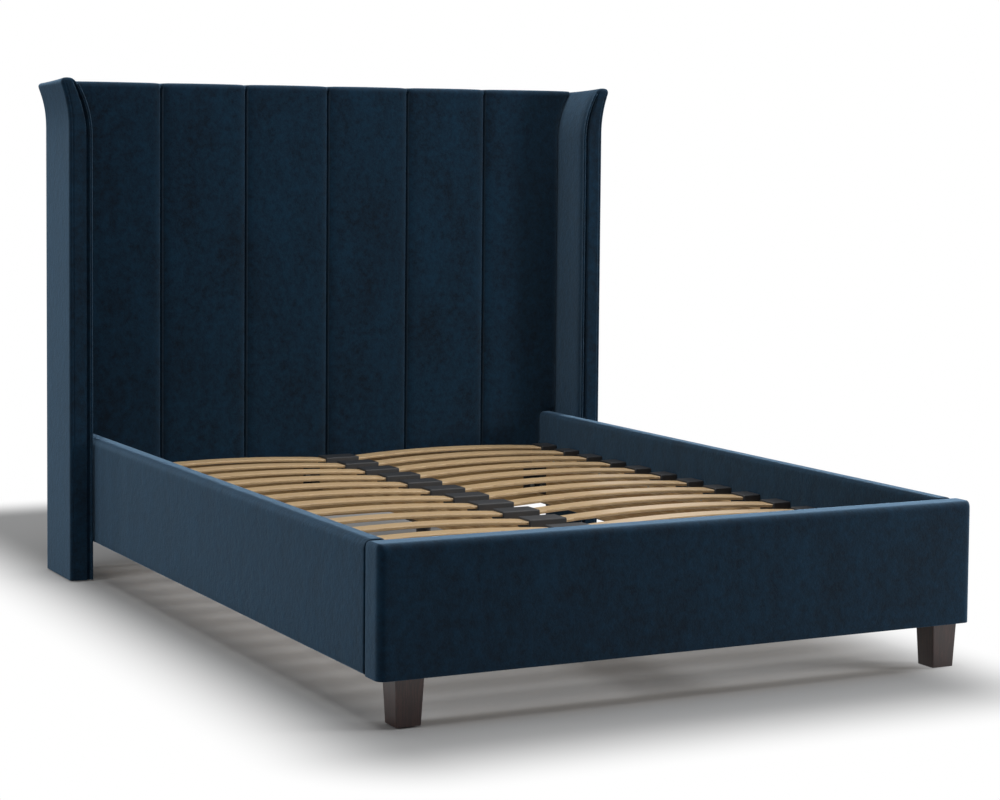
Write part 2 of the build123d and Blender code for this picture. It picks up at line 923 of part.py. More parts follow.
with BuildPart() as end_cap:
    box_between((cap_outer - cap_length, cap_outer), (-cap_half, cap_half), cap_z)
    fillet(end_cap.edges().filter_by(Axis.Z), radius=cap_edge_radius)
    fillet(end_cap.edges().group_by(Axis.Z)[-1], radius=cap_edge_radius)
    add(slat(fit).part, mode=Mode.SUBTRACT)

with BuildPart() as slat_end_caps:
    with Locations(*((0, row, 0) for row in slat_rows)):
        add(end_cap.part)
    mirror(about=Plane.YZ)
save(slat_end_caps, "slat_end_caps")

with BuildPart() as centre_cap:
    box_between((-centre_cap_length / 2, centre_cap_length / 2), (-cap_half, cap_half), cap_z)
    fillet(centre_cap.edges().filter_by(Axis.Z), radius=cap_edge_radius)
    fillet(centre_cap.edges().group_by(Axis.Z)[-1], radius=cap_edge_radius)
    pocket = slat(fit)
    add(pocket.part, mode=Mode.SUBTRACT)
    add(mirror(pocket.part, about=Plane.YZ, mode=Mode.PRIVATE), mode=Mode.SUBTRACT)

with BuildPart() as slat_centre_caps:
    with Locations(*((0, row, 0) for row in slat_rows)):
        add(centre_cap.part)
save(slat_centre_caps, "slat_centre_caps")
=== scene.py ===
# %% [markdown]
# # A winged bed frame in midnight-blue velvet
#
# The bed is a timber and steel frame under foam and velvet. The rigid parts come
# ready-made at their real size, in metres, with Z up and the origin on the floor
# under the middle of the bed. This lesson dresses them: it sews and inflates the
# upholstery, gives every part its finish, and lights the whole thing.

# %% Load the frame
import json
import math
import random

import bmesh
import bpy
import numpy as np
from mathutils import Matrix, Vector


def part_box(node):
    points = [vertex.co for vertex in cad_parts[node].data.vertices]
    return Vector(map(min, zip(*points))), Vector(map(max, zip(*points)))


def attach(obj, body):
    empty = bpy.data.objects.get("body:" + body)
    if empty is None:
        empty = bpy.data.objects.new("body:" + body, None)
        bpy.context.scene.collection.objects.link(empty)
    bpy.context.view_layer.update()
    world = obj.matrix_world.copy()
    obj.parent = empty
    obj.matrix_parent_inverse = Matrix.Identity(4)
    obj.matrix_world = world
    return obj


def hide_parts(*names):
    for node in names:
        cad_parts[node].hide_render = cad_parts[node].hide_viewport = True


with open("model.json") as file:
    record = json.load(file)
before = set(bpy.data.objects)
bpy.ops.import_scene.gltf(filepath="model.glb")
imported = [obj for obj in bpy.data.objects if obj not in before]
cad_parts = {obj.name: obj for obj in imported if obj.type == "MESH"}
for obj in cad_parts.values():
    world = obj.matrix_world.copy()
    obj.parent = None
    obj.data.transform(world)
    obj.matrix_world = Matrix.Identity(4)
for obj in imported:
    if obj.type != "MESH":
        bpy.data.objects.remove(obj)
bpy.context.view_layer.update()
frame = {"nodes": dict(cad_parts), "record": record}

print("frame parts:", len(frame["nodes"]))

# %% [markdown]
# ## Small helpers for shaders
#
# Every finish is a small graph of nodes. One function adds a node, sets its
# values and links its inputs, so a graph reads like a list of steps. Colours are
# written as screen hex values and turned to the linear values that a renderer
# mixes light in.

# %% Shader helpers
MM = 0.001


def colour(code):
    """A screen hex colour as linear red, green, blue and alpha."""
    values = [int(code[i : i + 2], 16) / 255 for i in (1, 3, 5)]
    linear = [v / 12.92 if v <= 0.04045 else ((v + 0.055) / 1.055) ** 2.4 for v in values]
    return (*linear, 1.0)


def add_node(owner, kind, inputs=None, stops=(), **settings):
    """Add one node to a material or world, and return its outputs. An input is a plain
    value or another node's output. Stops are the places and colours of a ramp."""
    tree = owner.node_tree
    node = tree.nodes.new(kind)
    for name, value in settings.items():
        setattr(node, name, value)
    for number, (position, code) in enumerate(stops):
        element = node.color_ramp.elements[number]
        element.position, element.color = position, colour(code)
    for name, value in (inputs or {}).items():
        socket = node.inputs[name]
        if isinstance(value, bpy.types.NodeSocket):
            tree.links.new(value, socket)
        else:
            socket.default_value = value
    return node.outputs


def new_material(name):
    """An empty material, and the object's own coordinates in metres."""
    material = bpy.data.materials.new(name)
    material.use_nodes = True
    material.node_tree.nodes.clear()
    return material, add_node(material, "ShaderNodeTexCoord")["Object"]


def close_material(material, surface):
    """Give a material its surface, once the patterns on it are made."""
    body = add_node(material, "ShaderNodeBsdfPrincipled", surface)["BSDF"]
    add_node(material, "ShaderNodeOutputMaterial", {"Surface": body})
    return material


print("black and white:", colour("#000000"), colour("#ffffff"))

# %% [markdown]
# ## Camera
#
# The frame is seen from its foot end and a little from its left, from about chest
# height. A long lens from six metres away keeps its sides close to parallel. The
# lens is raised a little in its mount, as on a view camera, so that the camera can
# stay nearly level and upright edges stay upright.

# %% Camera
LENS = 87.08
LENS_SHIFT = -0.1
CAMERA_PLACE = Vector((-2.694, -5.364, 1.176))
TURN, TILT, LEAN = math.radians(27.14), math.radians(-3.73), math.radians(0.525)

lens = bpy.data.cameras.new("camera")
lens.lens = LENS
lens.shift_y = LENS_SHIFT
camera = bpy.data.objects.new("camera", lens)
camera.matrix_world = (
    Matrix.Translation(CAMERA_PLACE)
    @ Matrix.Rotation(-TURN, 4, "Z")
    @ Matrix.Rotation(math.pi / 2 + TILT, 4, "X")
    @ Matrix.Rotation(LEAN, 4, "Z")
)
bpy.context.collection.objects.link(camera)
bpy.context.scene.camera = camera
bpy.context.scene.view_settings.view_transform = "Standard"
print("camera at", tuple(round(v, 3) for v in CAMERA_PLACE))

# %% [markdown]
# ## Floor, backdrop and light
#
# A studio sweep is white, and keeps a soft shadow under the piece. The floor here is
# matt grey under the bed and close to it: a painted shadow, on top of the one that the
# lamps cast. Outside a rectangle it turns to plain white within about a third of a
# metre, but only for rays that come straight from the camera, from a mirror or through
# glass. Light comes from a large soft box above, a lower one in front and well to the
# right, a weak one on the left, and the pale room. The right one leaves the shadow of
# the right wing, soft and dark, on the headboard's last channel.

# %% Rays that see the backdrop
OTHER_BACKDROP_RAYS = ("Is Glossy Ray", "Is Transmission Ray")


def backdrop_rays(owner):
    """One for rays from the camera, a mirror or glass, and zero for all others."""
    path = add_node(owner, "ShaderNodeLightPath")
    seen = path["Is Camera Ray"]
    for kind in OTHER_BACKDROP_RAYS:
        seen = add_node(
            owner, "ShaderNodeMath", {0: seen, 1: path[kind]}, operation="MAXIMUM"
        )[0]
    return seen


print("the backdrop shows to the camera and to", len(OTHER_BACKDROP_RAYS), "other rays")


# %% Floor
def new_object(name, points, faces):
    """An object at the origin, made of points and the faces between them."""
    mesh = bpy.data.meshes.new(name)
    mesh.from_pydata(points, [], faces)
    made = bpy.data.objects.new(name, mesh)
    bpy.context.collection.objects.link(made)
    return made


FLOOR_HALF = 30.0
SHADOW_MIDDLE, SHADOW_HALF = (-0.1, 0.4, 0.0), (0.62, 1.55, 1.0)
SHADOW_FADE = 0.36

corners = ((-1, -1), (1, -1), (1, 1), (-1, 1))
points = [(x * FLOOR_HALF, y * FLOOR_HALF, 0) for x, y in corners]
floor = new_object("floor", points, [(0, 1, 2, 3)])

painted_shadow_floor, reach = new_material("grey floor with painted shadow")
for operation, operand in (
    ("SUBTRACT", SHADOW_MIDDLE),
    ("ABSOLUTE", (0, 0, 0)),
    ("SUBTRACT", SHADOW_HALF),
    ("MAXIMUM", (0, 0, 0)),
):
    reach = add_node(
        painted_shadow_floor, "ShaderNodeVectorMath", {0: reach, 1: operand}, operation=operation
    )["Vector"]
away = add_node(painted_shadow_floor, "ShaderNodeVectorMath", {0: reach}, operation="LENGTH")["Value"]
far = add_node(
    painted_shadow_floor,
    "ShaderNodeMapRange",
    {"Value": away, "From Min": 0.0, "From Max": SHADOW_FADE},
    interpolation_type="SMOOTHSTEP",
)["Result"]
blank = add_node(
    painted_shadow_floor, "ShaderNodeMath", {0: far, 1: backdrop_rays(painted_shadow_floor)}, operation="MULTIPLY"
)[0]
# Painted shadow: the floor is this grey near the bed, so that it looks shaded there.
painted_shadow_grey = add_node(painted_shadow_floor, "ShaderNodeBsdfDiffuse", {"Color": colour("#b4b4b4")})[0]
white = add_node(
    painted_shadow_floor, "ShaderNodeEmission", {"Color": colour("#ffffff"), "Strength": 1.0}
)[0]
mixed = add_node(painted_shadow_floor, "ShaderNodeMixShader", {0: blank, 1: painted_shadow_grey, 2: white})[0]
add_node(painted_shadow_floor, "ShaderNodeOutputMaterial", {"Surface": mixed})
floor.data.materials.append(painted_shadow_floor)
print("floor turns white within", SHADOW_FADE, "metres")

# %% World and lamps
ROOM_STRENGTH = 0.15

world = bpy.data.worlds.new("bright studio")
bpy.context.scene.world = world
world.use_nodes = True
world.node_tree.nodes.clear()
room = add_node(
    world, "ShaderNodeBackground", {"Color": colour("#f2f5f8"), "Strength": ROOM_STRENGTH}
)[0]
backdrop = add_node(
    world, "ShaderNodeBackground", {"Color": colour("#ffffff"), "Strength": 1.0}
)[0]
both = add_node(
    world, "ShaderNodeMixShader", {0: backdrop_rays(world), 1: room, 2: backdrop}
)[0]
add_node(world, "ShaderNodeOutputWorld", {"Surface": both})


def soft_box(name, place, target, size, watts):
    """A square area lamp that faces a point."""
    lamp = bpy.data.lights.new(name, "AREA")
    lamp.size = size
    lamp.energy = watts
    box = bpy.data.objects.new(name, lamp)
    box.location = place
    facing = (Vector(target) - Vector(place)).to_track_quat("-Z", "Y")
    box.rotation_euler = facing.to_euler()
    bpy.context.collection.objects.link(box)


soft_box("top soft box", (0, 0, 5.0), target=(0, 0, 0), size=4.0, watts=165)
soft_box("right soft box", (4.2, -2.8, 1.4), target=(0.3, 0, 0.5), size=1.2, watts=123)
soft_box("left soft box", (-4.6, -0.6, 1.6), target=(0, 0, 0.3), size=2.0, watts=42)
print("room strength", ROOM_STRENGTH)

# %% [markdown]
# ## Velvet
#
# Velvet is a woven cloth with a short, dense, cut pile. Seen straight on, the eye
# looks down between the hairs and the cloth is nearly black-blue. Seen at a slant
# it catches their sides, so it turns pale at its edges: that is sheen. Where a
# hand or a fold has laid the pile another way, soft patches differ in tone. The
# pile itself, about 0.3 mm across, is finer than the picture shows. Its mottling is
# drawn from 24 mm down to 1.5 mm, each finer layer almost as strong as the last.
# The wings and the footboard get a copy with a little more sheen, and the side rails
# one with a little less. This is painted light and painted shade, standing for the wings
# and the footboard catching more light than the rails.

# %% Velvet
PILE_MOTTLE = 24 * MM
NAP_PATCH, NAP_STRETCH = 90 * MM, 0.45
PATCH_SHARE = 0.3
PILE_TONES = ((0.37, "#010a16"), (0.63, "#07263a"))


def cut_velvet(name, sheen):
    """Polyester velvet with patches of laid pile and a fine grain."""
    material, place = new_material(name)
    stretched = add_node(
        material, "ShaderNodeMapping", {"Vector": place, "Scale": (1.0, 1.0, NAP_STRETCH)}
    )["Vector"]
    patches = add_node(
        material,
        "ShaderNodeTexNoise",
        {"Vector": stretched, "Scale": 1 / NAP_PATCH, "Detail": 3.0, "Roughness": 0.55},
    )["Fac"]
    grain = add_node(
        material,
        "ShaderNodeTexNoise",
        {"Vector": place, "Scale": 1 / PILE_MOTTLE, "Detail": 4.0, "Roughness": 0.85},
    )["Fac"]
    mottle = add_node(
        material, "ShaderNodeMix", {"Factor": PATCH_SHARE, "A": grain, "B": patches}
    )["Result"]
    tone = add_node(material, "ShaderNodeValToRGB", {"Fac": mottle}, PILE_TONES)["Color"]
    pile = add_node(
        material, "ShaderNodeBump", {"Height": grain, "Strength": 0.6, "Distance": 2 * MM}
    )["Normal"]
    laid = add_node(
        material,
        "ShaderNodeBump",
        {"Height": patches, "Normal": pile, "Strength": 0.12, "Distance": 4 * MM},
    )["Normal"]
    surface = {
        "Base Color": tone,
        "Normal": laid,
        "Roughness": 0.92,
        "IOR": 1.45,
        "Specular IOR Level": 0.12,
        "Sheen Weight": sheen,
        "Sheen Roughness": 0.45,
        "Sheen Tint": colour("#abd5fa"),
    }
    return close_material(material, surface)


velvet = cut_velvet("cut velvet", sheen=0.75)
# Painted light and shade: copies of the one velvet, with more sheen on the wings and
# footboard and less on the side rails.
painted_lit_velvet = cut_velvet("cut velvet with painted extra sheen", sheen=0.82)
painted_shade_velvet = cut_velvet("cut velvet with sheen lowered as painted shade", sheen=0.65)
print("velvet mottling", PILE_MOTTLE, "nap patches", NAP_PATCH)

# %% [markdown]
# ## Bare timber
#
# The hidden frame is planed pine: pale yellow-brown, with darker late wood in
# lines about 4 mm apart. A board's lines run along it, so the pattern is squeezed
# across the grain and stretched along it. The same function makes the thin
# plywood, and the dark stained beech of the feet, which a satin lacquer covers.

# %% Timber
RING = 4 * MM
# A ring runs 28 times its width before it wanders. The noise that bends the rings is
# broader than they are, and its range is folded into nine bands, early and late by
# turns.
RING_STRETCH, RING_BEND, RING_BANDS = 28, 0.45, 9.0
FIBRE_SHARE = 0.5


def timber(name, along, ring, early, late, pores, **surface):
    """Wood whose grain runs along an axis, from the width of a year's ring, the colours
    of its early and late wood, and the pores that lie across a ring."""
    material, place = new_material(name)
    scale = [1 / ring] * 3
    scale["XYZ".index(along)] = 1 / (ring * RING_STRETCH)
    squeezed = add_node(
        material, "ShaderNodeMapping", {"Vector": place, "Scale": scale}
    )["Vector"]
    rings = add_node(
        material,
        "ShaderNodeTexNoise",
        {
            "Vector": squeezed,
            "Scale": RING_BEND,
            "Detail": 4.0,
            "Roughness": 0.6,
            "Distortion": 0.6,
        },
    )["Fac"]
    waves = add_node(
        material, "ShaderNodeMath", {0: rings, 1: RING_BANDS}, operation="MULTIPLY"
    )[0]
    lines = add_node(
        material, "ShaderNodeMath", {0: waves, 1: 1.0}, operation="PINGPONG"
    )[0]
    fibre = add_node(
        material,
        "ShaderNodeTexNoise",
        {"Vector": squeezed, "Scale": pores, "Detail": 3.0, "Roughness": 0.65},
    )["Fac"]
    mixed = add_node(
        material,
        "ShaderNodeMath",
        {0: fibre, 1: FIBRE_SHARE, 2: lines},
        operation="MULTIPLY_ADD",
    )[0]
    tones = ((0.1, early), (1.0, late))
    tone = add_node(material, "ShaderNodeValToRGB", {"Fac": mixed}, tones)["Color"]
    relief = add_node(
        material, "ShaderNodeBump", {"Height": fibre, "Strength": 0.2, "Distance": 0.3 * MM}
    )["Normal"]
    return close_material(
        material, {"Base Color": tone, "Normal": relief, "Roughness": 0.55, **surface}
    )


pine = {
    along: timber(f"planed pine along {along}", along, RING, "#dcbf90", "#bd9460", 2.2)
    for along in "XYZ"
}
birch_ply = timber("sanded birch plywood", "X", 9 * MM, "#cfae7e", "#b8935f", 3.0)
lacquer = {"Roughness": 0.36, "Coat Weight": 0.3, "Coat Roughness": 0.2}
stained_beech = timber(
    "stained and lacquered beech", "Z", 3 * MM, "#3a221d", "#1f100e", 2.5, **lacquer
)
print("timber finishes:", len(pine) + 2)

# %% [markdown]
# ## Laminated slats
#
# A sprung slat is five beech veneers glued over a bowed mould, then clear coated.
# Its edges show the glue lines, which follow the bow. They are drawn from each
# point's distance to the middle of the bow's circle, so they bend with the slat.
# Only every second line is drawn, since closer ones would run together.

# %% Slats
SLAT_MIDDLE = 344.9 * MM
BOW_TOP, BOW_RADIUS = 295 * MM, 4004 * MM
VENEER, GLUE_LINE = 1.6 * MM, 0.5 * MM
FLECKS_IN_100_MM = (9, 210, 210)


def bowed_laminate(name):
    """Glued veneers in bowed layers, with fine beech flecks along X."""
    material, place = new_material(name)
    parts = add_node(material, "ShaderNodeSeparateXYZ", {"Vector": place})
    side = add_node(material, "ShaderNodeMath", {0: parts["X"]}, operation="ABSOLUTE")[0]
    across = add_node(
        material, "ShaderNodeMath", {0: side, 1: SLAT_MIDDLE}, operation="SUBTRACT"
    )[0]
    up = add_node(
        material,
        "ShaderNodeMath",
        {0: parts["Z"], 1: BOW_RADIUS - BOW_TOP},
        operation="ADD",
    )[0]
    spot = add_node(material, "ShaderNodeCombineXYZ", {"X": across, "Z": up})["Vector"]
    radius = add_node(
        material, "ShaderNodeVectorMath", {0: spot}, operation="LENGTH"
    )["Value"]
    layer = add_node(
        material, "ShaderNodeMath", {0: radius, 1: VENEER}, operation="PINGPONG"
    )[0]
    glue = add_node(
        material,
        "ShaderNodeMapRange",
        {"Value": layer, "From Min": 0.0, "From Max": GLUE_LINE},
    )["Result"]
    scale = [count / (100 * MM) for count in FLECKS_IN_100_MM]
    squeezed = add_node(
        material, "ShaderNodeMapping", {"Vector": place, "Scale": scale}
    )["Vector"]
    flecks = add_node(
        material,
        "ShaderNodeTexNoise",
        {"Vector": squeezed, "Scale": 1.0, "Detail": 3.0, "Roughness": 0.6},
    )["Fac"]
    tones = ((0.3, "#dcc095"), (0.75, "#bf9a69"))
    veneer = add_node(material, "ShaderNodeValToRGB", {"Fac": flecks}, tones)["Color"]
    tone = add_node(
        material,
        "ShaderNodeMix",
        {"Factor": glue, "A": colour("#8d6a43"), "B": veneer},
        data_type="RGBA",
    )["Result"]
    relief = add_node(
        material,
        "ShaderNodeBump",
        {"Height": flecks, "Strength": 0.15, "Distance": 0.2 * MM},
    )["Normal"]
    surface = {
        "Base Color": tone,
        "Normal": relief,
        "Roughness": 0.42,
        "Coat Weight": 0.25,
        "Coat Roughness": 0.3,
    }
    return close_material(material, surface)


laminated_beech = bowed_laminate("laminated beech")
print("veneers", VENEER, "thick")

# %% [markdown]
# ## Steel, plastic and lining cloth
#
# The brackets and legs are powder coated: baked powder leaves a satin skin with a
# faint orange peel. Bolts and screws are zinc plated, a pale grey metal with a
# patchy shine. Slat holders and glides are moulded black nylon with a fine spark
# texture. The lining is a thin plain-woven black polyester.

# %% Steel and plastic
def speckled(name, size, low, high, depth, **surface):
    """A finish whose tone and height vary in specks of a given size."""
    material, place = new_material(name)
    specks = add_node(
        material,
        "ShaderNodeTexNoise",
        {"Vector": place, "Scale": 1 / size, "Detail": 3.0, "Roughness": 0.6},
    )["Fac"]
    tones = ((0.3, low), (0.7, high))
    tone = add_node(material, "ShaderNodeValToRGB", {"Fac": specks}, tones)["Color"]
    relief = add_node(
        material, "ShaderNodeBump", {"Height": specks, "Strength": 0.3, "Distance": depth}
    )["Normal"]
    return close_material(material, {"Base Color": tone, "Normal": relief, **surface})


powder_coat = speckled(
    "satin black powder coat", 2 * MM, "#17181a", "#212225", 0.1 * MM, Roughness=0.42
)
zinc_plate = speckled(
    "zinc plate", 6 * MM, "#a9adaf", "#c3c7c9", 0.05 * MM, Roughness=0.3, Metallic=1.0
)
nylon = speckled(
    "moulded black nylon", 1 * MM, "#191a1c", "#242528", 0.1 * MM, Roughness=0.5
)
print("speckled:", [finish.name for finish in (powder_coat, zinc_plate, nylon)])

# %% Lining cloth
THREAD = 1.5 * MM
# Bands of scale one repeat every 0.314 metres.
BAND_AT_SCALE_ONE = 0.314


def plain_weave(name, dark, light):
    """Threads over and under each other, drawn coarse enough to show close by."""
    material, place = new_material(name)
    bands = {"Scale": BAND_AT_SCALE_ONE / THREAD, "Distortion": 0.4, "Detail": 1.0}
    threads = [
        add_node(
            material, "ShaderNodeTexWave", {"Vector": place, **bands}, bands_direction=axis
        )["Fac"]
        for axis in "XZ"
    ]
    cloth = add_node(
        material, "ShaderNodeMath", {0: threads[0], 1: threads[1]}, operation="MULTIPLY"
    )[0]
    tones = ((0.1, dark), (0.9, light))
    tone = add_node(material, "ShaderNodeValToRGB", {"Fac": cloth}, tones)["Color"]
    relief = add_node(
        material, "ShaderNodeBump", {"Height": cloth, "Strength": 0.4, "Distance": 0.2 * MM}
    )["Normal"]
    surface = {"Base Color": tone, "Normal": relief, "Roughness": 0.85, "Sheen Weight": 0.2}
    return close_material(material, surface)


lining_cloth = plain_weave("woven polyester lining", "#0f1012", "#1d1e21")
print("thread spacing", THREAD)

# %% [markdown]
# ## Finishing the rigid parts
#
# Boards, timbers, slats, legs and bolts already have their real shape, so all that
# they need is a finish. Each part's record says what it is made of. Timber is sawn
# with its grain along its longest side, so it takes the pine that runs that way.
# The covers and the lining get their cloth too, although sewn pieces stand in for
# them further on.

# %% Finish the rigid parts
FINISHES = {
    "dark_wood": stained_beech,
    "plywood": birch_ply,
    "beech": laminated_beech,
    "black_steel": powder_coat,
    "zinc_steel": zinc_plate,
    "black_plastic": nylon,
    "velvet": velvet,
    "lining": lining_cloth,
}
for part in frame["record"]["subparts"]:
    node = part["node"]
    low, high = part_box(node)
    longest = "XYZ"[int(np.argmax(np.subtract(high, low)))]
    finish = FINISHES.get(part["material_slot"], pine[longest])
    mesh = frame["nodes"][node].data
    mesh.materials.clear()
    mesh.materials.append(finish)

# %% [markdown]
# ## Sewing: padding between two grids
#
# Upholstery is foam under a sewn skin. Each padded piece here is a closed shell
# between two grids of points with the same layout: the velvet outside, and the
# frame that the foam is glued to inside. Its points are drawn from the frame's
# own sizes, so it lands where the frame expects it.
#
# The foam is then blown up a little with the cloth simulation: the inner grid, the
# edges and the seams are held, air pushes the rest out, and no point may move
# further than a cap. The seams stay down, and the panels between them swell, as
# they do when a cover is pulled over foam that is slightly too big for it.

# %% Sewing helpers
def smooth(value, low, high):
    """Zero below a low value, one above a high one, and a soft step between them."""
    share = np.clip((value - low) / (high - low), 0, 1)
    return share * share * (3 - 2 * share)


def arc(centre, radius, start, end, steps):
    """Points along an arc, from one angle in degrees to another."""
    x, y = centre
    angles = np.radians(np.linspace(start, end, steps + 1))
    return [(x + radius * math.cos(a), y + radius * math.sin(a)) for a in angles]


def even_steps(low, high, step):
    """Places from low to high, about one step apart."""
    return np.linspace(low, high, max(2, round(abs(high - low) / step) + 1))


print("soft step at a quarter:", smooth(0.25, 0, 1))


# %% Closed shell
def quads(rows, columns, looped=False):
    """Corner numbers of the faces of a grid. A looped grid's rows close on themselves."""
    for r in range(rows - 1):
        for c in range(columns if looped else columns - 1):
            a, b = r * columns + c, r * columns + (c + 1) % columns
            yield a, b, b + columns, a + columns


def shell(name, outer, inner, looped=False):
    """A closed shell between two grids of points. A looped grid gets a rim at its first
    ring only, since its last one is closed already."""
    rows, columns = outer.shape[:2]
    count = rows * columns
    faces = []
    for a, b, c, d in quads(rows, columns, looped):
        faces += [(a, b, c, d), (count + a, count + d, count + c, count + b)]
    grid = np.arange(count).reshape(rows, columns).tolist()
    if looped:
        rims = [grid[0] + [0]]
    else:
        rims = [grid[0], grid[-1], [row[0] for row in grid], [row[-1] for row in grid]]
    for rim in rims:
        faces += [(a, count + a, count + b, b) for a, b in zip(rim, rim[1:])]
    points = np.concatenate([outer.reshape(-1, 3), inner.reshape(-1, 3)])
    return new_object(name, points.tolist(), faces)


print("faces of a 3 by 3 grid:", len(list(quads(3, 3))))

# %% Swell the foam
CLOTH_FRAMES = 14


def inflate(piece, free, pressure, cap):
    """Swell a shell with the cloth simulation. Only the free points of its outer grid
    move, and none of them moves further than the cap."""
    mesh = piece.data
    start = np.empty(len(mesh.vertices) * 3)
    mesh.vertices.foreach_get("co", start)
    start = start.reshape(-1, 3)
    held = np.ones(len(start), bool)
    held[: free.size] = ~free.ravel()
    group = piece.vertex_groups.new(name="held")
    group.add(np.flatnonzero(held).tolist(), 1.0, "REPLACE")
    cloth = piece.modifiers.new("foam", "CLOTH")
    settings = cloth.settings
    settings.quality = 5
    settings.mass = 0.4
    settings.vertex_group_mass = group.name
    settings.tension_stiffness = settings.compression_stiffness = 12
    settings.shear_stiffness = 6
    settings.bending_stiffness = 1.5
    settings.use_pressure = True
    settings.uniform_pressure_force = pressure
    settings.effector_weights.gravity = 0.0
    cloth.collision_settings.use_collision = False
    cloth.point_cache.frame_start = 1
    cloth.point_cache.frame_end = CLOTH_FRAMES
    for number in range(1, CLOTH_FRAMES + 1):
        bpy.context.scene.frame_set(number)
    swollen = piece.evaluated_get(bpy.context.evaluated_depsgraph_get()).data
    end = np.empty(len(start) * 3)
    swollen.vertices.foreach_get("co", end)
    move = end.reshape(-1, 3) - start
    reach = np.linalg.norm(move, axis=1, keepdims=True)
    move *= np.minimum(1.0, cap / np.maximum(reach, 1e-9))
    piece.modifiers.clear()
    piece.vertex_groups.clear()
    mesh.vertices.foreach_set("co", (start + move).ravel())
    bpy.context.scene.frame_set(1)
    print(piece.name, "swelled by", round(float(reach.max()) / MM, 1), "mm before the cap")


print("cloth frames:", CLOTH_FRAMES)

# %% Finish a padded piece
DOUBLED = 0.02 * MM


def pull(piece, stitches):
    """Pull the outer grid's points by the given offsets, as stitches do."""
    mesh = piece.data
    place = np.empty(len(mesh.vertices) * 3)
    mesh.vertices.foreach_get("co", place)
    place[: stitches.size] += stitches.ravel()
    mesh.vertices.foreach_set("co", place)


def dress(mesh, cloth):
    """Give a mesh its cloth, and shade its faces as one smooth skin."""
    mesh.materials.clear()
    mesh.materials.append(cloth)
    mesh.polygons.foreach_set("use_smooth", [True] * len(mesh.polygons))


def tidy(mesh, cloth):
    """Merge doubled points, turn every face outwards, and dress the mesh in a cloth."""
    work = bmesh.new()
    work.from_mesh(mesh)
    bmesh.ops.remove_doubles(work, verts=work.verts, dist=DOUBLED)
    bmesh.ops.recalc_face_normals(work, faces=work.faces)
    work.to_mesh(mesh)
    work.free()
    dress(mesh, cloth)


def apply_modifiers(piece):
    """Give a piece the mesh that its modifiers make, and take them off."""
    depsgraph = bpy.context.evaluated_depsgraph_get()
    mesh = bpy.data.meshes.new_from_object(piece.evaluated_get(depsgraph))
    piece.modifiers.clear()
    piece.data = mesh


def finish_padding(piece, node, cloth=velvet):
    """Subdivide a padded piece once, and let it stand for its rigid stand-in."""
    tidy(piece.data, cloth)
    subdivide = piece.modifiers.new("subdivide", "SUBSURF")
    subdivide.levels = subdivide.render_levels = 1
    apply_modifiers(piece)
    tidy(piece.data, cloth)
    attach(piece, "frame")
    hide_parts(node)
    print(piece.name, "has", len(piece.data.polygons), "faces")


print("points merge within", DOUBLED, "metres")

# %% [markdown]
# ## Sleeves: the wings and the footboard
#
# A wing and the footboard are both boxes of foam in a sewn sleeve that is closed at
# the top and open underneath. The sleeve is a stack of rounded rings. Near the top
# the rings draw in over the rounded edge, and the last ring closes on the middle
# line. Each ring has the same points, so an upright seam is a column of them, and
# columns crowd together where a seam needs a crisp edge.

# %% Rings and rows
CORNER_STEPS = 5
HEM, HEM_FOLD, HEM_ROWS = 2 * MM, 0.3, 3
EDGE_TURNS = (15, 30, 45, 60, 75, 90)


def ring(x_limits, y_limits, radii, front_shares, side_shares):
    """Points round a rectangle, anticlockwise from its front corner at low x. radii are
    the front and rear corner radii, and shares place the points between the corners."""
    (x0, x1), (y0, y1) = x_limits, y_limits
    front, rear = radii
    corners = [
        arc((x0 + front, y0 + front), front, 180, 270, CORNER_STEPS),
        arc((x1 - front, y0 + front), front, 270, 360, CORNER_STEPS),
        arc((x1 - rear, y1 - rear), rear, 0, 90, CORNER_STEPS),
        arc((x0 + rear, y1 - rear), rear, 90, 180, CORNER_STEPS),
    ]
    back = [1 - share for share in reversed(side_shares)]
    runs = [front_shares, side_shares, front_shares, back]
    points = []
    for corner, following, shares in zip(corners, corners[1:] + corners[:1], runs):
        (ax, ay), (bx, by) = corner[-1], following[0]
        points += corner
        points += [(ax + share * (bx - ax), ay + share * (by - ay)) for share in shares]
    return points


def sleeve_rows(bottom, top, edge, step, half, lid_shares):
    """Heights and insets of a sleeve's rings: a small hem, the side, the rounded edge,
    and the lid, which closes by shares of what the edge leaves of the half width."""
    fold = HEM * HEM_FOLD
    rows = [(bottom, HEM), (bottom, fold), (bottom + fold, 0.0)]
    rows += [(height, 0.0) for height in even_steps(bottom + 2 * HEM, top - edge, step)]
    rows += [
        (top - edge + edge * math.sin(turn), edge * (1 - math.cos(turn)))
        for turn in np.radians(EDGE_TURNS)
    ]
    return rows + [(top, edge + share * (half - edge)) for share in lid_shares]


print("points in a corner:", CORNER_STEPS + 1)

# %% Grids of a sleeve
SLIT = 0.005 * MM
VELVET_CORNER, BOARD_CORNER, LEAST_CORNER = 0.5 * MM, 0.4 * MM, 0.001 * MM
BOARD_CLOSES = 0.999


def drawn_in(limits, inset, end_edge, radii, shares, height):
    """A ring at a height, drawn in by an inset. end_edge is the inset's share at the
    ends of a long box."""
    (x0, x1), (y0, y1) = limits
    end = inset * end_edge
    outline = ring((x0 + end, x1 - end), (y0 + inset, y1 - inset), radii, *shares)
    return [(x, y, height) for x, y in outline]


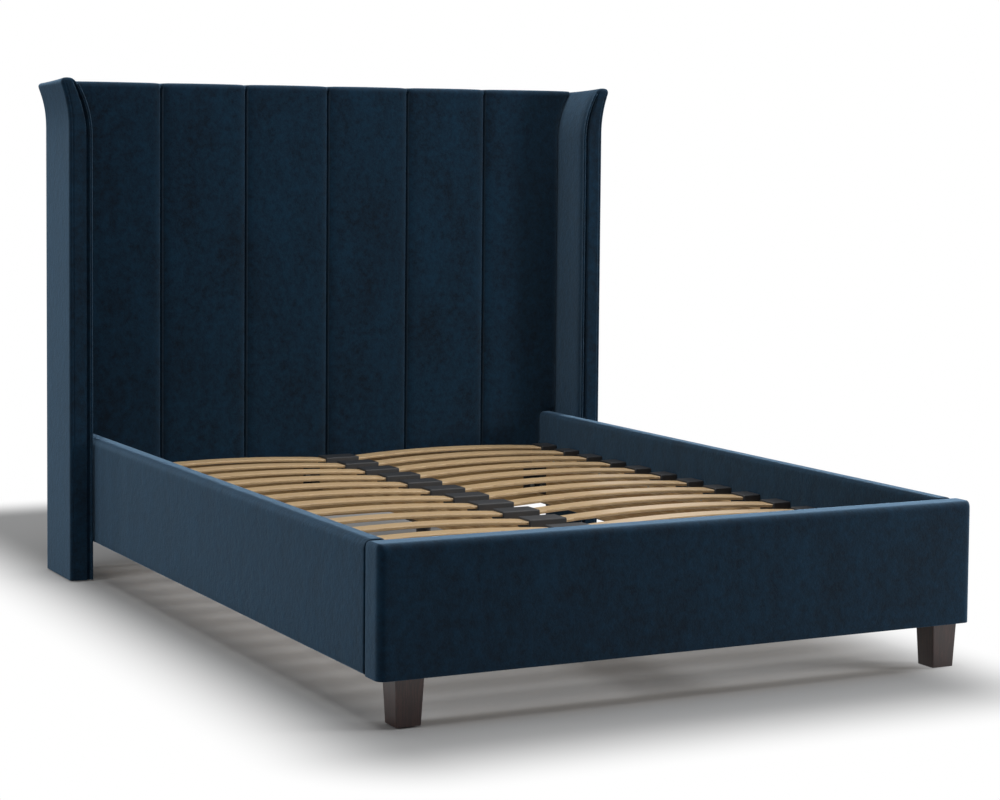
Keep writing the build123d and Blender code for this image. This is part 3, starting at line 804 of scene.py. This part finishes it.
def sleeve_grids(rows, velvet_at, board_at, board_top, radii, shares, end_edge=1.0):
    """The grid of the velvet, and the grid of the boards inside. velvet_at and board_at
    give their limits at a height. Above the boards, both close on the middle line."""
    outer, inner = [], []
    for height, inset in rows:
        limits = velvet_at(height)
        half = min(high - low for low, high in limits) / 2
        closed = inset / half if height > board_top else 0.0
        inset = min(inset, half - SLIT)
        least = VELVET_CORNER * (1 - closed) + LEAST_CORNER
        corners = [max(radius - inset, least) for radius in radii]
        outer.append(drawn_in(limits, inset, end_edge, corners, shares, height))
        level = min(height, board_top)
        limits = board_at(level)
        half = min(high - low for low, high in limits) / 2
        corners = [BOARD_CORNER * (1 - closed) + LEAST_CORNER] * 2
        tuck = closed * half * BOARD_CLOSES
        inner.append(drawn_in(limits, tuck, end_edge, corners, shares, level))
    return np.array(outer), np.array(inner)


def free_points(grid):
    """Every point of a sleeve's grid may swell, apart from its hem and its last ring."""
    free = np.ones(grid.shape[:2], bool)
    free[:HEM_ROWS] = free[-1] = False
    return free


print("the last ring leaves a slit of", 2 * SLIT, "metres")

# %% [markdown]
# ## Wings
#
# Each wing is a tall box cushion. Its faces run straight up and flare outwards near
# the top in a circle's arc, and its top falls a little towards the back. Velvet
# piping stands in the front inner seam, and beside it the stitches pull the padding
# down into a deep slot. The front outer seam is a plain one at the outer corner.

# %% Wing sizes
WING_INNER, WING_OUTER = 742 * MM, 802 * MM
WING_FRONT, HEAD_END = 807.5 * MM, 1027.5 * MM
WING_BOTTOM, HEAD_TOP = 3 * MM, 1330 * MM
RIB_TOP = 1320.3 * MM
WING_EDGE = 12 * MM
WING_RADII = (10.5 * MM, 5 * MM)
FOAM = 7.7 * MM
FOAM_FRONT, FOAM_BACK = 13.7 * MM, 5.7 * MM


def flare_of(rise, reach):
    """Where a flare starts, and the radius that takes it to its reach at the top."""
    return HEAD_TOP - rise, (rise**2 + reach**2) / (2 * reach)


INNER_FLARE = flare_of(145 * MM, 43 * MM)
OUTER_FLARE = flare_of(125 * MM, 25 * MM)


def flared(x, height, flare, wider=0.0):
    """Where an upright face lies at a height, once its flare has begun."""
    start, radius = flare[0], flare[1] + wider
    return x + radius - math.sqrt(radius**2 - max(0.0, height - start) ** 2)


def wing_faces(height, foam=0.0):
    """Where a wing's inner and outer faces lie at a height, or the boards under foam."""
    return (
        flared(WING_INNER, height, INNER_FLARE) + foam,
        flared(WING_OUTER, height, OUTER_FLARE) - foam,
    )


print("inner flare radius", round(INNER_FLARE[1], 3), "outer", round(OUTER_FLARE[1], 3))

# %% Wing grids
# Where the columns stand between the corners, in a front of 39 mm and a side of
# 204.5 mm: close together at the slot and behind the piping.
WING_SHARES = (
    [mm / 39 for mm in (2, 4, 5, 5.5, 7, 11, 20, 29, 35, 38)],
    [mm / 204.5 for mm in (3, 6, 9, 14, 24, 40, 60, 85, 110, 135, 160, 185)],
)
WING_LID_SHARES = (0.45, 0.7, 1.0)

top_inner, top_outer = wing_faces(HEAD_TOP)
wing_rows = sleeve_rows(
    WING_BOTTOM,
    HEAD_TOP,
    WING_EDGE,
    step=16 * MM,
    half=(top_outer - top_inner) / 2,
    lid_shares=WING_LID_SHARES,
)
velvet_depth = (WING_FRONT, HEAD_END)
board_depth = (WING_FRONT + FOAM_FRONT, HEAD_END - FOAM_BACK)
wing_outer, wing_inner = sleeve_grids(
    wing_rows,
    lambda height: (wing_faces(height), velvet_depth),
    lambda height: (wing_faces(height, FOAM), board_depth),
    RIB_TOP,
    WING_RADII,
    WING_SHARES,
)
print("wing grid", wing_outer.shape)

# %% [markdown]
# ## Stitches of a wing
#
# The stitches are offsets of the grid's points, worked out from each point's
# distance to the inner face and to the front. Beside the piping they make a slot,
# soft on its near side and steep on its far one, and at the outer corner a plain
# seam. Behind the piping the inner face dips a little. All of them fade out under
# the top, which is shaped as a whole: its front edge rises in the middle, and the
# rest falls towards the back and the outside.

# %% Wing stitches
SLOT, SLOT_STARTS, SLOT_ENDS = 9 * MM, (3.5 * MM, 6.5 * MM), (14.5 * MM, 15.5 * MM)
DIP, DIP_STARTS, DIP_ENDS = 2.5 * MM, (2 * MM, 6 * MM), (12 * MM, 30 * MM)
INNER_FACE = 5 * MM
SEAM = 3 * MM
STITCHES_END = (3 * MM, 26 * MM)
TOP_SHAPE = 90 * MM
TOP_FALL, FRONT_RISE, FRONT_CROWN = 8 * MM, 1 * MM, 6 * MM
INSIDE_FALL = 0.3

mid_corner = CORNER_STEPS // 2
seam_column = CORNER_STEPS + 1 + len(WING_SHARES[0])
front_columns = slice(mid_corner + 1, seam_column)
inner_columns = (slice(mid_corner + 1), slice(-len(WING_SHARES[1]), None))
x, y, z = np.moveaxis(wing_outer, 2, 0)
edges = np.array([wing_faces(height) for height, _ in wing_rows])
inside, behind = x - edges[:, :1], y - WING_FRONT
deep = behind / (HEAD_END - WING_FRONT)
across = inside / (edges[:, 1:] - edges[:, :1])
slot = SLOT * smooth(inside, *SLOT_STARTS) * (1 - smooth(inside, *SLOT_ENDS))
dip = DIP * smooth(behind, *DIP_STARTS) * (1 - smooth(behind, *DIP_ENDS))
dip *= inside < INNER_FACE

wing_stitches = np.zeros_like(wing_outer)
wing_stitches[:, front_columns, 1] = slot[:, front_columns]
wing_stitches[:, seam_column, 1] = SEAM
for run in inner_columns:
    wing_stitches[:, run, 0] = dip[:, run]
wing_stitches *= smooth(HEAD_TOP - z, *STITCHES_END)[:, :, None]

near_top = smooth(z, HEAD_TOP - TOP_SHAPE, HEAD_TOP)
rise = (FRONT_RISE + FRONT_CROWN * 4 * across * (1 - across)) * (1 - deep) ** 2
fall = TOP_FALL * deep * (INSIDE_FALL + (1 - INSIDE_FALL) * across)
wing_stitches[:, :, 2] += near_top * (rise - fall)
print("wing's stitches reach", round(float(abs(wing_stitches).max()) / MM, 1), "mm")

# %% Wing pieces
SIDES = ((1, "right"), (-1, "left"))

free = free_points(wing_outer)
free[:, mid_corner] = free[:, seam_column + mid_corner] = False

for flip, mark in SIDES:
    mirrored = np.array([flip, 1, 1])
    outer, inner = wing_outer * mirrored, wing_inner * mirrored
    wing = shell(f"wing_upholstery_{mark}", outer, inner, looped=True)
    inflate(wing, free, pressure=4.0, cap=3 * MM)
    pull(wing, wing_stitches * mirrored)
    # The wings' velvet has extra sheen: painted light.
    finish_padding(wing, f"wing_cover_{mark}", painted_lit_velvet)

# %% [markdown]
# ## Footboard
#
# The footboard is a long low box in one sleeve of velvet over thin foam, with soft
# upright corners and a top that rolls towards the front. Its ends are flatter, so
# the rolled edge is narrow there.

# %% Footboard
FOOT_X, FOOT_Y = 735 * MM, (-1027.5 * MM, -957.5 * MM)
FOOT_BOTTOM, FOOT_TOP = 100 * MM, 377 * MM
FOOT_EDGE, FOOT_CORNERS = 16 * MM, (18 * MM, 5 * MM)
CORE_X, CORE_Y, CORE_TOP = 725.3 * MM, (-1017.8 * MM, -967.2 * MM), 367.3 * MM
FOOT_END_EDGE = 0.35
FOOT_SHARES = (even_steps(0, 1, 1 / 90)[1:-1], (0.25, 0.5, 0.75))
FOOT_LID_SHARES = (0.4, 0.8, 1.0)

foot_rows = sleeve_rows(
    FOOT_BOTTOM,
    FOOT_TOP,
    FOOT_EDGE,
    step=15 * MM,
    half=(FOOT_Y[1] - FOOT_Y[0]) / 2,
    lid_shares=FOOT_LID_SHARES,
)
outer, inner = sleeve_grids(
    foot_rows,
    lambda height: ((-FOOT_X, FOOT_X), FOOT_Y),
    lambda height: ((-CORE_X, CORE_X), CORE_Y),
    CORE_TOP,
    FOOT_CORNERS,
    FOOT_SHARES,
    FOOT_END_EDGE,
)
footboard = shell("footboard_upholstery", outer, inner, looped=True)
inflate(footboard, free_points(outer), pressure=2.5, cap=2 * MM)
# The footboard's velvet has extra sheen: painted light.
finish_padding(footboard, "footboard_cover", painted_lit_velvet)

# %% [markdown]
# ## Side rails
#
# Each rail is a board with foam round its outside, over its top and down its inner
# face to the batten that carries the slats. The skin is one strip. Each of its
# points has a partner on the board: the nearest one, straight through the foam.

# %% Rail section
RAIL_IN, RAIL_OUT, RAIL_TOP, RAIL_BOTTOM = 685 * MM, 735 * MM, 377 * MM, 100 * MM
BOARD_IN, BOARD_OUT = 694.8 * MM, 720.2 * MM
BOARD_TOP, BOARD_BOTTOM = 365.2 * MM, 102.8 * MM
LEDGE = 265.5 * MM
TOP_IN, TOP_OUT, UNDER = 12 * MM, 18 * MM, 8 * MM

section = [(RAIL_IN + 4 * MM, LEDGE)]
up_inside = even_steps(LEDGE + 3 * MM, RAIL_TOP - TOP_IN, 12 * MM)
section += [(RAIL_IN, z) for z in up_inside]
section += arc((RAIL_IN + TOP_IN, RAIL_TOP - TOP_IN), TOP_IN, 180, 90, 5)[1:]
over_top = even_steps(RAIL_IN + TOP_IN, RAIL_OUT - TOP_OUT, 7 * MM)[1:-1]
section += [(x, RAIL_TOP) for x in over_top]
section += arc((RAIL_OUT - TOP_OUT, RAIL_TOP - TOP_OUT), TOP_OUT, 90, 0, 6)
down_outside = even_steps(RAIL_TOP - TOP_OUT, RAIL_BOTTOM + UNDER, 13 * MM)[1:]
section += [(RAIL_OUT, z) for z in down_outside]
section += arc((RAIL_OUT - UNDER, RAIL_BOTTOM + UNDER), UNDER, 0, -90, 4)[1:]
back_under = even_steps(RAIL_OUT - UNDER, BOARD_IN, 9 * MM)[1:]
section += [(x, RAIL_BOTTOM) for x in back_under]
backing = np.clip(section, (BOARD_IN, BOARD_BOTTOM), (BOARD_OUT, BOARD_TOP))
print("rail section has", len(section), "points")

# %% Rail pieces
RAIL_FRONT, RAIL_BACK = -953.5 * MM, 995.2 * MM
END_ROW, END_TUCK = 2 * MM, 0.03
STAPLED_COLUMNS = 3
# Each gather's place along the rail, its depth and its width, in millimetres.
GATHERS = ((925, 1.4, 22), (868, 1.6, 14), (790, 0.9, 18), (600, 0.6, 40))

stations = even_steps(RAIL_FRONT, RAIL_BACK, 16 * MM)
stations = np.concatenate([[RAIL_FRONT, RAIL_FRONT + END_ROW], stations[1:]])
outer = np.array([[(x, y, z) for x, z in section] for y in stations])
inner = np.array([[(x, y, z) for x, z in backing] for y in stations])
outer[0] += (inner[0] - outer[0]) * END_TUCK
stitches = np.zeros_like(outer)
for place, depth, width in GATHERS:
    dip = depth * MM * np.exp(-(((stations - place * MM) / (width * MM)) ** 2))
    stitches[:, :, 0] -= dip[:, None] * smooth(outer[:, :, 0], BOARD_OUT, RAIL_OUT)
free = np.ones(outer.shape[:2], bool)
free[0] = free[-1] = free[:, 0] = False
free[:, -STAPLED_COLUMNS:] = False
for flip, mark in SIDES:
    mirrored = np.array([flip, 1, 1])
    rail = shell(f"rail_upholstery_{mark}", outer * mirrored, inner * mirrored)
    inflate(rail, free, pressure=2.5, cap=2 * MM)
    pull(rail, stitches * mirrored)
    # The rails' velvet has less sheen: painted shade.
    finish_padding(rail, f"side_rail_cover_{mark}", painted_shade_velvet)

# %% [markdown]
# ## Headboard channels
#
# Six upright channels are sewn through foam to a thin board, and the cover rolls
# over the top of the frame. The grid's rows follow that route, from the bottom edge
# up the front, round the roll and down behind the top. Its columns crowd together
# at the seams, where the stitches pull the velvet down into a narrow dark groove.
# Near the top the two outer channels widen with the wings' flare.

# %% Headboard columns
PAD_SIDE = 741.7 * MM
CHANNELS = 6
CROWN, GROOVE = 3 * MM, 10 * MM
SHOULDER, SHOULDER_WIDTH = 7 * MM, 26 * MM
NOTCH_X, NOTCH_TOP = 684.7 * MM, 377.3 * MM
# The columns on each side of a seam, in millimetres from it.
GROOVE_PLACES = (0, 3, 4.2, 5.4, 5.9, 8, 11, 16, 23, 36, 54, 76, 100)
GROOVE_SLOPE, SEWN_WIDTH = (3 * MM, 5.4 * MM), 1 * MM

channel_width = 2 * PAD_SIDE / CHANNELS
half_channel = channel_width / 2
half_places = [mm * MM for mm in GROOVE_PLACES]
places = half_places + [half_channel]
places += [channel_width - place for place in half_places[:0:-1]]
starts = [number * channel_width - PAD_SIDE for number in range(CHANNELS)]
columns = np.array([start + place for start in starts for place in places] + [PAD_SIDE])
for edge in (-NOTCH_X, NOTCH_X):
    columns[np.argmin(abs(columns - edge))] = edge
from_seam = abs((columns + PAD_SIDE + half_channel) % channel_width - half_channel)
crowns = CROWN * (1 - from_seam / half_channel) ** 2
grooves = GROOVE * (1 - smooth(from_seam, *GROOVE_SLOPE))
grooves += SHOULDER * np.clip(1 - from_seam / SHOULDER_WIDTH, 0, 1) ** 2
print("headboard columns:", len(columns))

# %% Headboard route
PAD_FRONT, PAD_BACK = 957.5 * MM, 995.2 * MM
PAD_BOTTOM, FRAME_TOP = 270.2 * MM, 1308.3 * MM
ROLL, BACK_ROLL = 17 * MM, 8 * MM
TOP_PULL = 0.25

# Each step is a place on the velvet, its partner on the frame, and the way that the
# stitches pull it, as shares of their depth. Places are a depth and a height.
route = [((PAD_BACK, PAD_BOTTOM), (PAD_BACK, PAD_BOTTOM + 2 * MM), (0, 0.2))]
low_arc = arc((PAD_FRONT + BACK_ROLL, PAD_BOTTOM + BACK_ROLL), BACK_ROLL, 270, 180, 4)
route += [(spot, (PAD_BACK, PAD_BOTTOM + 4 * MM), (0.4, 0.2)) for spot in low_arc[:-1]]
heights = even_steps(PAD_BOTTOM + BACK_ROLL, HEAD_TOP - ROLL, 20 * MM)
heights[np.argmin(abs(heights - NOTCH_TOP))] = NOTCH_TOP
route += [((PAD_FRONT, height), (PAD_BACK, height), (1, 0)) for height in heights]
for turn in np.radians(np.linspace(0, 90, 9)[1:]):
    inward = np.array((math.cos(turn), -math.sin(turn)))
    spot = (PAD_FRONT + ROLL * (1 - inward[0]), HEAD_TOP - ROLL - ROLL * inward[1])
    strength = 1 - (1 - TOP_PULL) * turn / (math.pi / 2)
    route.append((spot, (PAD_BACK, FRAME_TOP), inward * strength))
for depth in even_steps(PAD_FRONT + ROLL, HEAD_END - BACK_ROLL, 9 * MM)[1:]:
    route.append(((depth, HEAD_TOP), (max(depth, PAD_BACK), FRAME_TOP), (0, -TOP_PULL)))
for spot in arc((HEAD_END - BACK_ROLL, HEAD_TOP - BACK_ROLL), BACK_ROLL, 90, 0, 4)[1:]:
    route.append((spot, (HEAD_END - 1 * MM, FRAME_TOP), (-0.1, -0.1)))
route.append(((HEAD_END, FRAME_TOP + 1 * MM), (HEAD_END - 0.5 * MM, FRAME_TOP), (0, 0)))
print("headboard rows:", len(route))

# %% Headboard grids
WIDENING = 0.92


def widened(height):
    """The columns' places at a height, with the outer channels following the wings."""
    extra = flared(0.0, height, INNER_FLARE, wider=WING_INNER - PAD_SIDE)
    share = smooth(abs(columns), PAD_SIDE - channel_width * WIDENING, PAD_SIDE)
    return columns + np.sign(columns) * share * extra


outer, inner, stitches = [], [], []
for (y, z), (back_y, back_z), (in_y, in_z) in route:
    outer.append([(x, y + in_y * d, z + in_z * d) for x, d in zip(widened(z), crowns)])
    inner.append([(x, back_y, back_z) for x in widened(max(z, back_z))])
    stitches.append([(0.0, in_y * d, in_z * d) for d in grooves])
outer, inner, stitches = np.array(outer), np.array(inner), np.array(stitches)
print("headboard grid", outer.shape)

# %% Headboard piece
free = np.ones(outer.shape[:2], bool)
free[0] = free[-1] = free[:, 0] = free[:, -1] = False
free[:, from_seam < SEWN_WIDTH] = False
headboard = shell("headboard_channels", outer, inner)
inflate(headboard, free, pressure=3.0, cap=3 * MM)
pull(headboard, stitches)

# The rails run in at the lower corners, so those are cut out.
work = bmesh.new()
work.from_mesh(headboard.data)
corner = []
for face in work.faces:
    middle = face.calc_center_median()
    if abs(middle.x) > NOTCH_X and middle.z < NOTCH_TOP:
        corner.append(face)
bmesh.ops.delete(work, geom=corner, context="FACES")
border = [edge for edge in work.edges if edge.is_boundary]
bmesh.ops.holes_fill(work, edges=border, sides=0)
work.to_mesh(headboard.data)
work.free()
finish_padding(headboard, "headboard_channel_pad")

# %% [markdown]
# ## Piping
#
# Piping is a strip of the same velvet, folded over a soft cord and sewn into the
# seam. It is swept here as a tube along the seam, a hair's breadth uneven, as
# sewn piping is.

# %% Piping
PIPING_INSET, PIPING_RADIUS = 1.5 * MM, 3.2 * MM
PIPING_SIDES = 12
WOBBLE = 0.08 * MM

random.seed(7)
seam = [
    (flared(WING_INNER + PIPING_INSET, z, INNER_FLARE, -PIPING_INSET), z)
    for z in even_steps(WING_BOTTOM + 0.3 * MM, HEAD_TOP - WING_EDGE + 2 * MM, 5 * MM)
]
radii = [PIPING_RADIUS + random.uniform(-WOBBLE, WOBBLE) for _ in seam]
for flip, mark in SIDES:
    points = []
    neighbours = zip([seam[0], *seam], [*seam[1:], seam[-1]])
    for (x, z), (before, after), radius in zip(seam, neighbours, radii):
        along = Vector((after[0] - before[0], 0, after[1] - before[1])).normalized()
        out = Vector((along.z, 0, -along.x))
        for turn in range(PIPING_SIDES):
            angle = 2 * math.pi * turn / PIPING_SIDES
            aside = out * radius * math.cos(angle)
            ahead = Vector((0, 1, 0)) * radius * math.sin(angle)
            spot = Vector((x, WING_FRONT + PIPING_INSET, z)) + (aside + ahead)
            points.append((flip * spot.x, spot.y, spot.z))
    faces = list(quads(len(seam), PIPING_SIDES, looped=True))
    faces.append(tuple(range(PIPING_SIDES)))
    faces.append(tuple(range(len(points) - PIPING_SIDES, len(points))))
    cord = new_object(f"wing_piping_cord_{mark}", points, faces)
    tidy(cord.data, velvet)
    rounded = [len(face.vertices) == 4 for face in cord.data.polygons]
    cord.data.polygons.foreach_set("use_smooth", rounded)
    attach(cord, "frame")
    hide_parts(f"wing_piping_{mark}")
print("piping points", len(seam))

# %% [markdown]
# ## Back lining
#
# The back of the headboard is closed with a thin lining cloth, its edges folded
# under and stapled to the timber every few centimetres. Between staples and over
# the open bays of the frame it sags a millimetre or so.

# %% Lining
LINING_X, LINING_Z = 736.7 * MM, (105 * MM, 1303 * MM)
LINING_BACK = 1026.6 * MM
LINING_THICKNESS = 0.8 * MM
STAPLED_EDGE, BAY_SLOPE = 20 * MM, 120 * MM
SAG, RIPPLE = 0.6 * MM, 0.35 * MM
# Radians of ripple in a metre: across, up, and how far the rows lean.
RIPPLE_ACROSS, RIPPLE_UP, RIPPLE_LEAN = 31, 23, 5

columns = even_steps(-LINING_X, LINING_X, 24 * MM)
rows = even_steps(*LINING_Z, 24 * MM)
points = []
for z in rows:
    for x in columns:
        edge = min(LINING_X - abs(x), z - LINING_Z[0], LINING_Z[1] - z)
        bay = min(1.0, max(0.0, edge - STAPLED_EDGE) / BAY_SLOPE)
        ripple = math.sin(x * RIPPLE_ACROSS) * math.sin(z * RIPPLE_UP + x * RIPPLE_LEAN)
        points.append((x, LINING_BACK - (SAG + RIPPLE * ripple) * bay, z))
lining = new_object("back_lining_cloth", points, list(quads(len(rows), len(columns))))
lining.modifiers.new("thickness", "SOLIDIFY").thickness = LINING_THICKNESS
apply_modifiers(lining)
dress(lining.data, lining_cloth)
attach(lining, "frame")
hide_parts("headboard_back_lining")
print("lining", round(2 * LINING_X, 3), "by", round(LINING_Z[1] - LINING_Z[0], 3), "metres")
